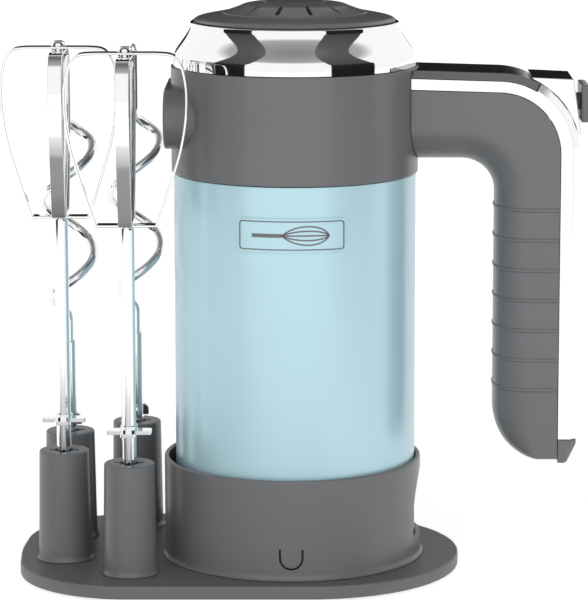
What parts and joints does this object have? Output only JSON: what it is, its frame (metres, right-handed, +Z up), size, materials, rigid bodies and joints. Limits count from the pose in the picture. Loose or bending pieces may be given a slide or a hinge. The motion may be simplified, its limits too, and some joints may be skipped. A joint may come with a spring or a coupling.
{
  "type": "hand mixer",
  "caption": "Upright hand mixer with a loop handle, standing in the cup of an oval storage stand with beaters and dough hooks in posts.",
  "frame": {"origin": "the middle of the object's outline, on the surface that the stand's feet rest on", "axes": "+X from the tools to the handle, +Z up, -Y is the side with the badge"},
  "size_m": [0.2414, 0.123, 0.2382],
  "materials": {
    "grey_plastic": "fine satin texture",
    "dark_plastic": "moulded, matt",
    "black_plastic": "smooth",
    "chrome": "mirror plated",
    "blue_paint": "pearl satin",
    "rubber": "matt",
    "steel": "machined",
    "copper": "enamelled winding wire",
    "nylon": "natural nylon",
    "brass": "turned"
  },
  "bodies": {
    "root": {"stand_plate": "grey_plastic", "base_cover": "dark_plastic", "stand_cup": "grey_plastic", "tool_post_front_left": "grey_plastic", "tool_post_front_right": "grey_plastic", "tool_post_back_left": "grey_plastic", "tool_post_back_right": "grey_plastic", "foot_1": "rubber", "foot_2": "rubber", "foot_3": "rubber", "foot_4": "rubber"},
    "mixer": {"body_sleeve": "blue_paint", "heel_cap": "grey_plastic", "inlet_bush": "rubber", "front_collar": "grey_plastic", "nose_ring": "chrome", "nose_cap": "grey_plastic", "badge_plate": "blue_paint", "handle_shell_front": "grey_plastic", "handle_shell_rear": "grey_plastic", "arm_top_cover": "black_plastic", "spine_trim": "chrome", "handle_end_cap": "grey_plastic", "control_wedge": "chrome", "handle_screw_1": "steel", "handle_screw_2": "steel", "motor_frame": "nylon", "motor_stator": "steel", "field_coil_left": "copper", "field_coil_right": "copper", "rear_bearing": "brass", "front_bearing": "brass", "brush_bridge": "brass", "socket_bush_front": "nylon", "socket_bush_rear": "nylon", "speed_switch": "black_plastic"},
    "armature": {"motor_shaft": "steel", "armature_core": "steel", "commutator": "copper", "cooling_fan": "nylon", "worm": "steel"},
    "spindle_front": {"worm_wheel_front": "nylon", "drive_spindle_front": "steel"},
    "spindle_rear": {"worm_wheel_rear": "nylon", "drive_spindle_rear": "steel"},
    "selector": {"speed_knob": "grey_plastic"},
    "button": {"eject_button": "dark_plastic"},
    "ejector": {"ejector": "nylon"},
    "beater_left": {"beater_left_shaft": "chrome", "beater_left_collar": "chrome", "beater_left_wide_loop": "chrome", "beater_left_cross_loop": "chrome"},
    "beater_right": {"beater_right_shaft": "chrome", "beater_right_collar": "chrome", "beater_right_wide_loop": "chrome", "beater_right_cross_loop": "chrome"},
    "hook_left": {"hook_left_spiral": "chrome", "hook_left_sleeve": "chrome"},
    "hook_right": {"hook_right_spiral": "chrome", "hook_right_sleeve": "chrome"}
  },
  "joints": [
    {"name": "mixer_lift", "type": "slide", "parent": "root", "child": "mixer", "axis": [0, 0, 1], "range_m": [0, 0.05]},
    {"name": "armature_spin", "type": "hinge", "parent": "mixer", "child": "armature", "pos_m": [-0.00085, 0, 0.1], "axis": [0, 0, 1], "continuous": true},
    {"name": "spindle_front_spin", "type": "hinge", "parent": "mixer", "child": "spindle_front", "pos_m": [-0.02085, -0.019, 0.192], "axis": [1, 0, 0], "continuous": true},
    {"name": "spindle_rear_spin", "type": "hinge", "parent": "mixer", "child": "spindle_rear", "pos_m": [-0.02085, 0.019, 0.192], "axis": [1, 0, 0], "continuous": true},
    {"name": "selector_slide", "type": "slide", "parent": "mixer", "child": "selector", "axis": [0, 0, -1], "range_m": [0, 0.008]},
    {"name": "eject_press", "type": "slide", "parent": "selector", "child": "button", "axis": [-1, 0, 0], "range_m": [0, 0.002]},
    {"name": "ejector_slide", "type": "slide", "parent": "mixer", "child": "ejector", "axis": [-1, 0, 0], "range_m": [0, 0.002], "stiffness_N_per_m": 600, "springref_m": -0.002},
    {"name": "beater_left_lift", "type": "slide", "parent": "root", "child": "beater_left", "axis": [0, 0, 1], "range_m": [0, 0.04]},
    {"name": "beater_right_lift", "type": "slide", "parent": "root", "child": "beater_right", "axis": [0, 0, 1], "range_m": [0, 0.04]},
    {"name": "hook_left_lift", "type": "slide", "parent": "root", "child": "hook_left", "axis": [0, 0, 1], "range_m": [0, 0.04]},
    {"name": "hook_right_lift", "type": "slide", "parent": "root", "child": "hook_right", "axis": [0, 0, 1], "range_m": [0, 0.04]}
  ],
  "couplings": [
    {"joint": "spindle_front_spin", "follows": "armature_spin", "ratio": -0.05},
    {"joint": "spindle_rear_spin", "follows": "armature_spin", "ratio": 0.05},
    {"joint": "eject_press", "follows": "ejector_slide", "ratio": 1}
  ]
}
